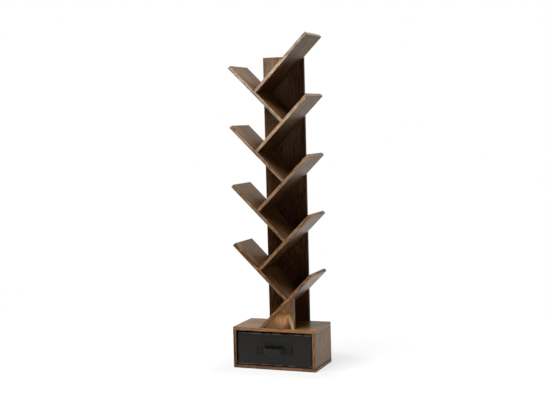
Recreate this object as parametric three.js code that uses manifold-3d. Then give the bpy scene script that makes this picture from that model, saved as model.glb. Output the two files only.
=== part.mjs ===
// A tree shaped bookshelf. Nine slanting boards stand on each other in a zigzag, screwed to a trunk
// behind them, on a cabinet that holds a pull-out fabric drawer.
// Millimetres, +Z up, the front faces -Y. The origin is the middle of the cabinet's underside.
import * as THREE from 'three';
import { mergeVertices } from 'three/addons/utils/BufferGeometryUtils.js';
import Module from 'manifold-3d';

const wasm = await Module();
wasm.setup();

// Slanting boards: each leans at 45 degrees and meets the next one square
const boardCount = 9;
const boardLength = 350;
const boardThickness = 15;
const boardStep = 190; // from one board's upper face to that of the next parallel board
const boardSetback = 5; // from the cabinet's front to the boards' front edges

// Cabinet under the tree
const baseWidth = 400;
const baseDepth = 225;
const baseHeight = 190;
const panelThickness = 15;
const backThickness = 5;
const backInset = 15; // from the cabinet's rear edge to the back panel
const grooveDepth = 5;

// Trunk behind the boards, and the triangular brace under the lowest board
const trunkWidth = 200;
const trunkThickness = 15;
const trunkCover = 9; // how far the trunk runs up behind the top board
const braceThickness = 15;

// Fits shared by all the pieces
const seat = 0.3; // gap between two pieces that rest on each other
const edgeEase = 0.6; // small chamfer along the boards' edges
const overrun = 1; // how far a cutter runs past the face that it cuts

// Countersunk assembly screws with a hexagon socket
const screwLength = 50;
const screwRadius = 3;
const screwHeadRadius = 4.75;
const screwHeadDepth = 2.5;
const screwTipLength = 3;
const screwSides = 10;
const screwSink = 0.3; // how deep the head lies under the face
const screwClearance = 0.3;
const socketRadius = 2;
const socketDepth = 2.2;
const socketSides = 6;

// Places of the screws
const footScrewInset = 40; // from a board's front and rear edges
const trunkScrewSpread = 45; // to both sides of the middle, where a board has two
const trunkFootScrewSpread = 60; // to both sides of the trunk's middle
const sideScrewInset = 45; // from the cabinet's front and rear edges
const braceScrewShares = [0.5, 0.85]; // along the brace's foot

// Fabric drawer: covered boards with a bound rim and a strap handle
const drawerRecess = 4;
const drawerSideGap = 3.5;
const drawerTopGap = 8;
const drawerBackGap = 4;
const wallThickness = 5;
const floorThickness = 4;
const fabricEase = 1.2;
const bindingThickness = 1.2;
const bindingHeight = 10;

// Strap handle, sewn down at both ends and standing off in between
const strapLength = 176;
const strapWidth = 34;
const strapThickness = 2.5;
const strapLoop = 108; // the free stretch
const strapBend = 24; // how much of the free stretch each end takes to stand off
const strapBulge = 20;
const strapDroop = 5;
const strapTilt = Math.PI / 10; // how far its upper edge leans out in the middle
const strapSteps = 24;
const strapBelowTop = 77; // from the drawer's top to the middle of the sewn ends

// Sizes that follow
const half = Math.SQRT1_2; // what a 45 degree lean gives along x and along z
const quarterTurn = Math.PI / 2;
const trunkFront = baseDepth / 2 - trunkThickness;
const boardFront = -baseDepth / 2 + boardSetback;
const boardDepth = trunkFront - seat - boardFront;
const boardMiddle = boardFront + boardDepth / 2;
const footOffset = boardStep * half / 2; // of each board's foot from the middle plane
const boardRise = boardStep * half; // from one board's foot to the next one's
const firstFootHeight = baseHeight + boardThickness * half / 2;
const topFootHeight = firstFootHeight + (boardCount - 1) * boardRise;
const undersideDrop = boardThickness / half; // straight down through a slanting board
const trunkTop = topFootHeight + footOffset + trunkWidth / 2 - undersideDrop + trunkCover;
const seamBoard = Math.floor(boardCount / 4) * 2; // the right-leaning board across the trunk's seam
const trunkScrewAlong = boardStep / 2;
const seamHeight = firstFootHeight + seamBoard * boardRise + (trunkScrewAlong - boardThickness / 2) * half;
const cabinetFloor = panelThickness;
const cabinetCeiling = baseHeight - panelThickness;
const cabinetHalfWidth = baseWidth / 2 - panelThickness;
const backFront = baseDepth / 2 - backInset - backThickness;
const bindingStep = bindingThickness + seat; // how far the binding stands past the walls
const drawerTop = cabinetCeiling - drawerTopGap;
const drawer = {
  halfWidth: cabinetHalfWidth - drawerSideGap - bindingStep,
  front: -baseDepth / 2 + drawerRecess + bindingStep,
  back: backFront - drawerBackGap - bindingStep,
  bottom: cabinetFloor + seat,
  top: drawerTop - bindingStep,
};

// Finishes
const finishes = {
  shelf: { color: 0x85593b, roughness: 0.55, metalness: 0 },
  trunk: { color: 0x5f3f29, roughness: 0.6, metalness: 0 },
  cabinet: { color: 0x8b5f3c, roughness: 0.55, metalness: 0 },
  back: { color: 0x6b4b34, roughness: 0.75, metalness: 0 },
  fabric: { color: 0x2c2c2a, roughness: 0.95, metalness: 0 },
  strap: { color: 0x262625, roughness: 0.8, metalness: 0 },
  steel: { color: 0xb4b7ba, roughness: 0.35, metalness: 1 },
};

function piece(name, geometry, finish) {
  const mesh = new THREE.Mesh(geometry, new THREE.MeshStandardMaterial(finishes[finish]));
  mesh.name = name;
  return mesh;
}

// Cutting: a geometry becomes a solid with shared corners and no collapsed triangles
function toSolid(geometry) {
  const bare = geometry.clone();
  bare.deleteAttribute('normal');
  bare.deleteAttribute('uv');
  const merged = mergeVertices(bare);
  const corners = merged.index.array;
  const triangles = [];
  for (let i = 0; i < corners.length; i += 3) {
    const [a, b, c] = corners.slice(i, i + 3);
    if (a !== b && b !== c && c !== a) triangles.push(a, b, c);
  }
  return new wasm.Manifold(new wasm.Mesh({
    numProp: 3,
    vertProperties: new Float32Array(merged.attributes.position.array),
    triVerts: new Uint32Array(triangles),
  }));
}

function toGeometry(solid) {
  const mesh = solid.getMesh();
  const geometry = new THREE.BufferGeometry();
  geometry.setAttribute('position', new THREE.BufferAttribute(mesh.vertProperties, 3));
  geometry.setIndex(new THREE.BufferAttribute(mesh.triVerts, 1));
  const faceted = geometry.toNonIndexed();
  faceted.computeVertexNormals();
  return faceted;
}

function cut(geometry, cutters) {
  let solid = toSolid(geometry);
  for (const cutter of cutters) solid = solid.subtract(toSolid(cutter));
  return toGeometry(solid);
}

// Outlines and the solids made from them
function polygon(points) {
  return new THREE.Shape(points.map(([across, up]) => new THREE.Vector2(across, up)));
}

function rectangle(left, low, right, high) {
  return polygon([[left, low], [right, low], [right, high], [left, high]]);
}

// A slab is drawn as it looks from the front and runs back from y = 0
function slab(outline, depth, ease) {
  const geometry = new THREE.ExtrudeGeometry(outline, {
    depth: depth - 2 * ease,
    bevelThickness: ease,
    bevelSize: ease,
    bevelOffset: -ease,
    bevelSegments: 1,
  });
  geometry.rotateX(quarterTurn);
  geometry.translate(0, depth - ease, 0);
  return geometry;
}

// A revolved solid along +z from pairs of radius and height
function revolve(profile, sides) {
  const points = profile.map(([radius, height]) => new THREE.Vector2(radius, height));
  const geometry = new THREE.LatheGeometry(points, sides);
  geometry.rotateX(quarterTurn);
  return geometry;
}

// A tube through sections of equal corner count, closed at both ends
function loft(sections) {
  const count = sections[0].length;
  const triangles = [];
  for (let s = 0; s + 1 < sections.length; s += 1) {
    for (let c = 0; c < count; c += 1) {
      const next = (c + 1) % count;
      const here = s * count;
      const there = here + count;
      triangles.push(here + c, here + next, there + c);
      triangles.push(there + c, here + next, there + next);
    }
  }
  const last = (sections.length - 1) * count;
  for (let c = 1; c + 1 < count; c += 1) {
    triangles.push(0, c + 1, c);
    triangles.push(last, last + c, last + c + 1);
  }
  const geometry = new THREE.BufferGeometry();
  geometry.setFromPoints(sections.flat());
  geometry.setIndex(triangles);
  const faceted = geometry.toNonIndexed();
  faceted.computeVertexNormals();
  return faceted;
}

// Screws: the head's top is at z = 0 and the point looks along +z
const screwGeometry = cut(
  revolve([
    [0, 0],
    [screwHeadRadius, 0],
    [screwRadius, screwHeadDepth],
    [screwRadius, screwLength - screwTipLength],
    [0, screwLength],
  ], screwSides),
  [new THREE.CylinderGeometry(socketRadius, socketRadius, 2 * socketDepth, socketSides).rotateX(quarterTurn)],
);

const screwHoleGeometry = revolve([
  [0, -screwSink - overrun],
  [screwHeadRadius + screwClearance, -screwSink - overrun],
  [screwHeadRadius + screwClearance, 0],
  [screwRadius + screwClearance, screwHeadDepth],
  [screwRadius + screwClearance, screwLength + screwClearance],
  [0, screwLength + screwClearance],
], screwSides);

const screws = [];
const drilledPieces = [];

// A screw enters the face at the point and runs along the direction, both in its parent's frame
function addScrew(parent, name, point, direction) {
  const screw = piece(name, screwGeometry, 'steel');
  screw.quaternion.setFromUnitVectors(new THREE.Vector3(0, 0, 1), direction);
  screw.position.copy(point).addScaledVector(direction, screwSink);
  parent.add(screw);
  screws.push(screw);
}

function addWood(parent, name, geometry, finish, y) {
  const wood = piece(name, geometry, finish);
  wood.position.y = y;
  parent.add(wood);
  drilledPieces.push(wood);
  return wood;
}

// Every wooden piece gets a hole for each screw that reaches it
function drillForScrews() {
  for (const wood of drilledPieces) {
    wood.geometry.computeBoundingBox();
    const holes = [];
    for (const screw of screws) {
      const intoWood = wood.matrixWorld.clone().invert().multiply(screw.matrixWorld);
      const hole = screwHoleGeometry.clone().applyMatrix4(intoWood);
      hole.computeBoundingBox();
      if (hole.boundingBox.intersectsBox(wood.geometry.boundingBox)) holes.push(hole);
    }
    wood.geometry = cut(wood.geometry, holes);
  }
}

// Cabinet: floor and top over the full width, sides between them, back panel held in grooves
function addCabinet(parent) {
  const sideLow = cabinetFloor + seat;
  const sideHigh = cabinetCeiling - seat;
  const outlines = {
    base_floor: rectangle(-baseWidth / 2, 0, baseWidth / 2, cabinetFloor),
    base_top: rectangle(-baseWidth / 2, cabinetCeiling, baseWidth / 2, baseHeight),
    base_left_side: rectangle(-baseWidth / 2, sideLow, -cabinetHalfWidth, sideHigh),
    base_right_side: rectangle(cabinetHalfWidth, sideLow, baseWidth / 2, sideHigh),
  };
  const backWidth = 2 * (cabinetHalfWidth + grooveDepth);
  const backHeight = cabinetCeiling - cabinetFloor + 2 * grooveDepth;
  const backMiddle = [0, backFront + backThickness / 2, baseHeight / 2];
  const groove = new THREE.BoxGeometry(
    backWidth + 2 * seat,
    backThickness + 2 * seat,
    backHeight + 2 * seat,
  );
  groove.translate(...backMiddle);
  groove.translate(0, baseDepth / 2, 0);
  for (const [name, outline] of Object.entries(outlines)) {
    const grooved = cut(slab(outline, baseDepth, edgeEase), [groove]);
    addWood(parent, name, grooved, 'cabinet', -baseDepth / 2);
  }
  const back = piece('base_back', new THREE.BoxGeometry(backWidth, backThickness, backHeight), 'back');
  back.position.set(...backMiddle);
  parent.add(back);

  const up = new THREE.Vector3(0, 0, 1);
  for (const [side, across] of [['left', -1], ['right', 1]]) {
    for (const [end, along] of [['front', -1], ['rear', 1]]) {
      const x = across * (baseWidth / 2 - panelThickness / 2);
      const y = along * (baseDepth / 2 - sideScrewInset);
      addScrew(parent, `base_${side}_side_screw_${end}`, new THREE.Vector3(x, y, 0), up);
    }
  }
}

// A board's own frame: x runs up the board from its foot, z out of its upper face. A left-leaning
// board is a right-leaning one turned half round, so its rear edge is at the other end of y.
function boardFrame(index) {
  const side = index % 2 === 0 ? 1 : -1;
  const frame = new THREE.Group();
  frame.position.set(-side * footOffset, boardMiddle, firstFootHeight + index * boardRise);
  frame.rotation.set(0, -quarterTurn / 2, side > 0 ? 0 : 2 * quarterTurn, 'ZYX');
  return { frame, side };
}

function boardName(index) {
  return index % 2 === 0 ? `right_shelf_${index / 2 + 1}` : `left_shelf_${(index + 1) / 2}`;
}

// The lowest board's foot is mitred to stand flat on the cabinet, the others' feet are square
function boardOutline(index) {
  const mitre = seat / half;
  const foot = index === 0
    ? [[mitre - boardThickness / 2, 0], [mitre + boardThickness / 2, -boardThickness]]
    : [[seat, 0], [seat, -boardThickness]];
  return polygon([...foot, [boardLength, -boardThickness], [boardLength, 0]]);
}

function addFootScrews(frame, side, name) {
  const spread = boardDepth / 2 - footScrewInset;
  const along = new THREE.Vector3(1, 0, 0);
  for (const [end, y] of [['front', -side * spread], ['rear', side * spread]]) {
    const point = new THREE.Vector3(-boardThickness, y, -boardThickness / 2);
    addScrew(frame, `${name}_foot_screw_${end}`, point, along);
  }
}

// One screw from behind the trunk, or two in the lowest board and in the one across the seam
function addTrunkScrews(frame, side, name, index) {
  const isDouble = index === 0 || index === seamBoard;
  const places = isDouble
    ? [['low', trunkScrewAlong - trunkScrewSpread], ['high', trunkScrewAlong + trunkScrewSpread]]
    : [['middle', trunkScrewAlong]];
  const rear = side * (baseDepth / 2 - boardMiddle);
  const forward = new THREE.Vector3(0, -side, 0);
  for (const [height, x] of places) {
    const point = new THREE.Vector3(x, rear, -boardThickness / 2);
    addScrew(frame, `${name}_trunk_screw_${height}`, point, forward);
  }
}

function addBoards(parent) {
  for (let index = 0; index < boardCount; index += 1) {
    const { frame, side } = boardFrame(index);
    const name = boardName(index);
    const board = slab(boardOutline(index), boardDepth, edgeEase);
    addWood(frame, name, board, 'shelf', -boardDepth / 2);
    if (index > 0) addFootScrews(frame, side, name);
    addTrunkScrews(frame, side, name, index);
    parent.add(frame);
  }
}

// Trunk: two boards end to end, joined by the slanting board that both are screwed to
function addTrunk(parent) {
  const right = trunkWidth / 2;
  const lower = rectangle(-right, baseHeight + seat, right, seamHeight - seat / 2);
  const upper = rectangle(-right, seamHeight + seat / 2, right, trunkTop);
  addWood(parent, 'trunk_lower', slab(lower, trunkThickness, edgeEase), 'trunk', trunkFront);
  addWood(parent, 'trunk_upper', slab(upper, trunkThickness, edgeEase), 'trunk', trunkFront);
  const up = new THREE.Vector3(0, 0, 1);
  for (const [name, side] of [['left', -1], ['right', 1]]) {
    const y = trunkFront + trunkThickness / 2;
    const point = new THREE.Vector3(side * trunkFootScrewSpread, y, cabinetCeiling);
    addScrew(parent, `trunk_foot_screw_${name}`, point, up);
  }
}

// Brace: a right-angled triangle that fills the corner under the lowest board, level with its front
function addBrace(parent) {
  const foot = baseHeight + seat;
  const slopeAtMiddle = firstFootHeight + footOffset - undersideDrop - seat / half;
  const left = foot - slopeAtMiddle;
  const right = trunkWidth / 2;
  const outline = polygon([[left, foot], [right, foot], [right, right + slopeAtMiddle]]);
  addWood(parent, 'front_brace', slab(outline, braceThickness, edgeEase), 'shelf', boardFront);

  const y = boardFront + braceThickness / 2;
  const up = new THREE.Vector3(0, 0, 1);
  braceScrewShares.forEach((share, i) => {
    const point = new THREE.Vector3(left + share * (right - left), y, cabinetCeiling);
    addScrew(parent, `brace_foot_screw_${['left', 'right'][i]}`, point, up);
  });

  const slopeX = (left + right) / 2;
  const slopeZ = slopeX + slopeAtMiddle;
  const intoBrace = new THREE.Vector3(half, 0, -half);
  const onUpperFace = new THREE.Vector3(slopeX, y, slopeZ);
  onUpperFace.addScaledVector(intoBrace, -boardThickness - seat);
  addScrew(parent, 'brace_shelf_screw', onUpperFace, intoBrace);
}

// Drawer walls: front and rear over the full width, sides and floor between them
function addDrawerWalls(parent) {
  const inFront = drawer.front + wallThickness + seat;
  const inDepth = drawer.back - wallThickness - seat - inFront;
  const inWidth = drawer.halfWidth - wallThickness;
  const across = rectangle(-drawer.halfWidth, drawer.bottom, drawer.halfWidth, drawer.top);
  const leftSide = rectangle(-drawer.halfWidth, drawer.bottom, -inWidth, drawer.top);
  const rightSide = rectangle(inWidth, drawer.bottom, drawer.halfWidth, drawer.top);
  const floor = rectangle(
    -inWidth + seat,
    drawer.bottom,
    inWidth - seat,
    drawer.bottom + floorThickness,
  );
  const walls = [
    ['drawer_front', across, wallThickness, drawer.front],
    ['drawer_rear', across, wallThickness, drawer.back - wallThickness],
    ['drawer_left_side', leftSide, inDepth, inFront],
    ['drawer_right_side', rightSide, inDepth, inFront],
    ['drawer_floor', floor, inDepth, inFront],
  ];
  for (const [name, outline, depth, y] of walls) {
    const wall = piece(name, slab(outline, depth, fabricEase), 'fabric');
    wall.position.y = y;
    parent.add(wall);
  }
}

// A rectangular ring seen from above, standing off the walls' outer faces by the given step
function rimRing(step, width, height) {
  const outer = [-drawer.halfWidth - step, drawer.front - step, drawer.halfWidth + step, drawer.back + step];
  const inner = [outer[0] + width, outer[1] + width, outer[2] - width, outer[3] - width];
  const outline = rectangle(...outer);
  outline.holes.push(rectangle(...inner));
  return new THREE.ExtrudeGeometry(outline, { depth: height, bevelEnabled: false });
}

// Binding: a folded tape over the walls' upper edges, open below
function addBinding(parent) {
  const tape = rimRing(bindingStep, wallThickness + 2 * bindingStep, bindingHeight);
  const channelHeight = bindingHeight - bindingThickness + overrun;
  const channel = rimRing(seat, wallThickness + 2 * seat, channelHeight);
  channel.translate(0, 0, -overrun);
  const binding = piece('drawer_rim_binding', cut(tape, [channel]), 'fabric');
  binding.position.z = drawerTop - bindingHeight;
  parent.add(binding);
}

// The strap's path at x, an even S-bend at both ends: its share of the bulge and its slope outward
function strapPath(x) {
  const along = Math.min(1, Math.max(0, (strapLoop / 2 - Math.abs(x)) / strapBend));
  const lift = along * along * (3 - 2 * along);
  const slope = -Math.sign(x) * 6 * along * (1 - along) * strapBulge / strapBend;
  return { lift, slope };
}

// The strap's section at x, square to its path: it stands off, droops and leans out at the top
function strapSection(x) {
  const { lift, slope } = strapPath(x);
  const tilt = strapTilt * lift;
  const outward = new THREE.Vector3(-slope, -1, 0).normalize();
  const middle = new THREE.Vector3(
    x,
    drawer.front - seat - strapThickness / 2 - strapBulge * lift,
    drawerTop - strapBelowTop - strapDroop * lift,
  );
  const corners = [[1, 1], [1, -1], [-1, -1], [-1, 1]];
  return corners.map(([outer, upper]) => {
    const out = outer * strapThickness / 2;
    const up = upper * strapWidth / 2;
    const corner = middle.clone().addScaledVector(outward, out * Math.cos(tilt) + up * Math.sin(tilt));
    corner.z += up * Math.cos(tilt) - out * Math.sin(tilt);
    return corner;
  });
}

function addStrap(parent) {
  const stations = [-strapLength / 2];
  for (let i = 0; i <= strapSteps; i += 1) {
    stations.push(strapLoop * (i / strapSteps) - strapLoop / 2);
  }
  stations.push(strapLength / 2);
  parent.add(piece('drawer_handle_strap', loft(stations.map(strapSection)), 'strap'));
}

const bookshelf = new THREE.Group();
addCabinet(bookshelf);
addTrunk(bookshelf);
addBoards(bookshelf);
addBrace(bookshelf);
bookshelf.updateMatrixWorld(true);
drillForScrews();
addDrawerWalls(bookshelf);
addBinding(bookshelf);
addStrap(bookshelf);

export default bookshelf;
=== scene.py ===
import math

import bmesh
import bpy
from mathutils import Matrix, Vector, noise


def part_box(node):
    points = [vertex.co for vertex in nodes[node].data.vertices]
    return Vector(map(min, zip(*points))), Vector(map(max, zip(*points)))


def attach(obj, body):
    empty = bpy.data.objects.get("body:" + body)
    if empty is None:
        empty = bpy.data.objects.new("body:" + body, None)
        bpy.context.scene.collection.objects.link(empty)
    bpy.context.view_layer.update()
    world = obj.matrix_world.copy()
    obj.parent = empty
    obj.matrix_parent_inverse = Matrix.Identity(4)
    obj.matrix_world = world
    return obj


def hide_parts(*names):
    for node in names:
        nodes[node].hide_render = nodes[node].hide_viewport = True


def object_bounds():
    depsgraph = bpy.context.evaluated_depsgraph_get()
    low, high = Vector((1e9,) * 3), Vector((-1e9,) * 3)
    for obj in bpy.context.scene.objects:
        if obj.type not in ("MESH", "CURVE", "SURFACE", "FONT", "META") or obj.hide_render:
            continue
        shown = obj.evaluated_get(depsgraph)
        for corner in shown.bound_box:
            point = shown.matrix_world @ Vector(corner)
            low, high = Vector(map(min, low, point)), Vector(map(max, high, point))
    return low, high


# The tree shaped bookshelf, dressed: woodgrain boards, a charcoal fabric drawer and its strap handle.
# Metres, +Z up, the front faces -Y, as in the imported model.
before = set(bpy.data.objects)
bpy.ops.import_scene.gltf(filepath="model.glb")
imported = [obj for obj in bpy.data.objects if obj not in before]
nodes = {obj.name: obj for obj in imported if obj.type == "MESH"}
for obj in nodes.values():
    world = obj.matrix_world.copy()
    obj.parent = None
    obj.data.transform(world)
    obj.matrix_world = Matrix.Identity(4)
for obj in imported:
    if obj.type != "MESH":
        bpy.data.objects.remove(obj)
cadLow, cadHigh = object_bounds()
mm = 0.001
seat = 0.3 * mm  # the gap between touching pieces of the model
print("frame loaded:", len(nodes), "nodes")


# Camera, where the photograph was taken from
cameraView = {
    "place": (1.75175, -4.54682, 1.13332),
    "yaw": 0.37161,
    "pitch": -0.08040,
    "roll": -0.02555,
    "focalPixels": 1062.88,
    "imageWidthPixels": 550,
    "sensorWidth": 36,
}


def addCamera(view):
    data = bpy.data.cameras.new("photoCamera")
    data.sensor_fit = "HORIZONTAL"
    data.sensor_width = view["sensorWidth"]
    data.lens = view["focalPixels"] * view["sensorWidth"] / view["imageWidthPixels"]
    camera = bpy.data.objects.new("photoCamera", data)
    turn = Matrix.Rotation(view["yaw"], 4, "Z") @ Matrix.Rotation(math.pi / 2 + view["pitch"], 4, "X")
    camera.matrix_world = Matrix.Translation(view["place"]) @ turn @ Matrix.Rotation(view["roll"], 4, "Z")
    bpy.context.scene.collection.objects.link(camera)
    bpy.context.scene.camera = camera


addCamera(cameraView)
bpy.context.scene.view_settings.view_transform = "Standard"
print("camera placed")


# Shader helpers: every value may be a number, a "#rrggbb" colour or another node's socket
def paint(colour):
    parts = [int(colour[i:i + 2], 16) / 255 for i in (1, 3, 5)]
    return [p / 12.92 if p <= 0.04045 else ((p + 0.055) / 1.055) ** 2.4 for p in parts] + [1.0]


def feed(tree, socket, value):
    if isinstance(value, bpy.types.NodeSocket):
        tree.links.new(value, socket)
    else:
        socket.default_value = paint(value) if isinstance(value, str) else value


def addNode(tree, kind, inputs=None, **settings):
    node = tree.nodes.new("ShaderNode" + kind)
    for name, value in settings.items():
        setattr(node, name, value)
    for key, value in (inputs or {}).items():
        feed(tree, node.inputs[key], value)
    return node


def maths(tree, operation, first, second=0.0):
    return addNode(tree, "Math", {0: first, 1: second}, operation=operation).outputs[0]


def product(tree, first, *others):
    for value in others:
        first = maths(tree, "MULTIPLY", first, value)
    return first


def total(tree, *weighted):  # sum of (socket, weight) pairs
    result = 0.0
    for value, weight in weighted:
        result = maths(tree, "ADD", maths(tree, "MULTIPLY", value, weight), result)
    return result


def layered(tree, layers, shares):  # sum of the named layers, each times its share
    return total(tree, *((layers[name], share) for name, share in shares.items()))


def vectorMaths(tree, operation, first, second=(0.0, 0.0, 0.0), output="Vector"):
    return addNode(tree, "VectorMath", {0: first, 1: second}, operation=operation).outputs[output]


def split(tree, vector):
    return addNode(tree, "SeparateXYZ", {0: vector}).outputs


def awayFrom(tree, value, middle, reach):  # 0 in the middle, -1 and 1 at the ends of the reach
    return maths(tree, "DIVIDE", maths(tree, "SUBTRACT", value, middle), reach)


def ease(tree, value, start, end, low=0.0, high=1.0):
    inputs = {"Value": value, "From Min": start, "From Max": end, "To Min": low, "To Max": high}
    return addNode(tree, "MapRange", inputs, interpolation_type="SMOOTHSTEP").outputs["Result"]


def mixed(tree, share, first, second):
    return addNode(tree, "Mix", {0: share, 6: first, 7: second}, data_type="RGBA").outputs[2]


def cloud(tree, place, scale, detail=2.0, roughness=0.5, distortion=0.0):  # noise with a scale for each axis
    inputs = {"Vector": vectorMaths(tree, "MULTIPLY", place, scale), "Scale": 1.0, "Detail": detail,
              "Roughness": roughness, "Distortion": distortion}
    return addNode(tree, "TexNoise", inputs).outputs[0]


noiseSpan = (0.3, 0.7)  # nearly all of a noise's values lie between these


def ramp(tree, value, stops):
    node = addNode(tree, "ValToRGB", {0: value})
    elements = node.color_ramp.elements
    while len(elements) < len(stops):
        elements.new(1.0)
    for element, (place, colour) in zip(elements, stops):
        element.position = place
        element.color = paint(colour)
    return node.outputs["Color"]


def newMaterial(name):
    material = bpy.data.materials.new(name)
    material.use_nodes = True
    tree = material.node_tree
    return material, tree, tree.nodes["Principled BSDF"]


def finishShader(tree, shader, colour, roughness, relief, look):
    feed(tree, shader.inputs["Base Color"], colour)
    feed(tree, shader.inputs["Roughness"], roughness)
    bumpInputs = {"Height": relief, "Strength": look["reliefStrength"], "Distance": look["reliefDepth"]}
    feed(tree, shader.inputs["Normal"], addNode(tree, "Bump", bumpInputs).outputs["Normal"])


def dress(thing, material):
    thing.data.materials.clear()
    thing.data.materials.append(material)


# Woodgrain laminate. Grain runs along the local x of each piece; "lean" turns it there about y.
# Each reach here is a pair: the layer starts to show at the first number and is full at the second.
woodLook = {
    "stops": ((0.28, "#271405"), (0.42, "#45280f"), (0.56, "#62401f"), (0.72, "#855d34")),
    "toneShares": {"broad": 0.62, "middling": 0.38, "rings": -0.10, "fine": 0.10},
    "tone": 0.0,
    "heightShade": 0.0,
    "heightShadeReach": (0.5, 1.25),
    "rearShadeLift": 0.0,
    "seedShift": (3.7, 1.9, 2.3),
    "broad": {"scale": (1.6, 11, 11)},
    "middling": {"scale": (3.5, 42, 42), "detail": 3, "distortion": 0.4},
    "fine": {"scale": (9, 240, 240)},
    "fineReach": (0.62, 0.42),
    "fineShare": 0.22,
    "pore": "#1b0f07",
    "poreNoise": {"scale": (34, 1000, 1000), "detail": 1},
    "poreReach": (0.56, 0.7),
    "poreShare": 0.5,
    "knot": "#170c05",
    "knotScale": (4.2, 11, 11),
    "knotRarity": 0.86,
    "knotCoreReach": (0.2, 0.06),
    "knotPullReach": (0.6, 0.0),
    "knotBend": 0.022,
    "knotShare": 0.85,
    "pithNoise": {"scale": (2.4, 6, 6), "detail": 1},
    "pithWander": (0.09, 0.10),
    "pithDepth": 0.03,
    "pithSpread": 0.02,
    "ringsPerMetre": 105,
    "ringReach": (-0.2, 1.0),
    "ringShare": 0.35,
    "ringWander": 0.006,
    "patches": {"scale": (4.5, 12, 12), "distortion": 0.6},
    "flecks": {"scale": (13, 75, 75), "distortion": 0.3},
    "greenTint": "#4f4a2e",
    "greenShare": 0.25,
    "orangeTint": "#9a6230",
    "orangeShare": 0.3,
    "pinkFleck": "#8c5a48",
    "oliveFleck": "#6b5a34",
    "fleckShare": 0.3,
    "stainsAndShade": (),
    "stainRaggedness": 1.6,
    "stainReach": (2.2, 0.5),
    "arch": None,
    # The banding runs from edgeLow to edgeHigh along edgeAxis; up the height this is painted light, paler
    # higher up
    "edgeLow": "#8a5a2f",
    "edgeHigh": "#c6ac94",
    "edgeAxis": "z",
    "edgeReach": (0.3, 1.35),
    "endColour": None,
    "frontBanding": 1.0,
    "endBanding": 1.0,
    "tipStart": 0.35,
    "tipShadeShare": 0.0,
    "streakNoise": {"scale": (10, 230, 230), "detail": 3},
    "streakContrast": 0.75,
    "streakLevel": 0.12,
    "mottle": {"scale": (38, 120, 120)},
    "mottleShare": 0.5,
    "mottleDark": (0.48, 0.37),
    "mottleDarkPart": 0.9,
    "mottlePale": (0.52, 0.64),
    "bandPoreShare": 0.3,
    "pinkTint": "#a67a63",
    "edgeGrey": "#877a6f",
    "joints": (),
    "seam": "#2d1c10",
    "seamReach": (2.6 * mm, 1.0 * mm),
    "seamShare": 0.34,
    "wear": "#ac8864",
    "rubReach": (1.8 * mm, 0.8 * mm),
    "rubShare": 0.32,
    "nicks": {"scale": (60, 300, 300)},
    "nickDepth": 1.6 * mm,
    "handled": {"scale": (14, 40, 40)},
    "handledReach": (0.46, 0.62),
    "roughness": 0.30,
    "roughShares": {"middling": 0.12, "pores": 0.25, "rubbed": 0.2, "dustAndShade": 0.8},
    "reliefShares": {"pores": -1.0, "rings": -0.25, "fine": 0.35, "rubbed": -0.5},
    "reliefStrength": 0.4,
    "reliefDepth": 0.3 * mm,
    "ior": 1.33,
}
foilTints = (  # noise layer, its reach, the name of its share and that of its colour
    ("patches", (0.52, 0.68), "greenShare", "greenTint"),
    ("patches", (0.46, 0.30), "orangeShare", "orangeTint"),
    ("flecks", (0.54, 0.66), "fleckShare", "pinkFleck"),
    ("flecks", (0.46, 0.34), "fleckShare", "oliveFleck"),
)
bandingTints = (  # noise layer, its reach, its share and the name of its colour
    ("patches", (0.50, 0.66), 0.5, "pinkTint"),
    ("flecks", (0.50, 0.62), 0.3, "edgeGrey"),
    ("streaks", (0.52, 0.38), 0.65, "seam"),
    ("streaks", (0.55, 0.68), 0.4, "wear"),
)
squarely = 0.8  # a face looks along an axis where its normal has more than this share of it


def localBox(name, lean):
    turn = Matrix.Rotation(lean, 3, "Y")
    corners = [turn @ v.co for v in nodes[name].data.vertices]
    low = Vector([min(c[i] for c in corners) for i in range(3)])
    high = Vector([max(c[i] for c in corners) for i in range(3)])
    return (low + high) / 2, (high - low) / 2


def knots(tree, grain, look):  # how dark a knot is here, and how hard it pulls at the year rings
    cellInputs = {"Vector": vectorMaths(tree, "MULTIPLY", grain, look["knotScale"]), "Randomness": 1.0}
    cells = addNode(tree, "TexVoronoi", cellInputs).outputs
    hasKnot = maths(tree, "GREATER_THAN", split(tree, cells["Color"])[0], look["knotRarity"])
    core = product(tree, ease(tree, cells["Distance"], *look["knotCoreReach"]), hasKnot)
    pull = product(tree, ease(tree, cells["Distance"], *look["knotPullReach"]), hasKnot)
    return core, pull


def yearRings(tree, surface, seed, look):  # 1 in the late wood of the rings round a wandering pith
    _, across, deep = split(tree, surface["local"])
    wobble = cloud(tree, surface["grain"], **look["pithNoise"])
    across = total(tree, (across, 1.0), (wobble, look["pithWander"][0]))
    deep = total(tree, (deep, 1.0), (surface["broad"], look["pithWander"][1]))
    deep = maths(tree, "ADD", deep, look["pithDepth"] + look["pithSpread"] * math.sin(5 * seed))
    radius = maths(tree, "SQRT", total(tree, (across, across), (deep, deep)))
    pulled = (surface["knotPull"], look["knotBend"])
    bent = total(tree, (radius, 1.0), pulled, (surface["middling"], look["ringWander"]))
    wave = maths(tree, "SINE", product(tree, bent, 2 * math.pi * look["ringsPerMetre"]))
    return ease(tree, wave, *look["ringReach"])


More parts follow.
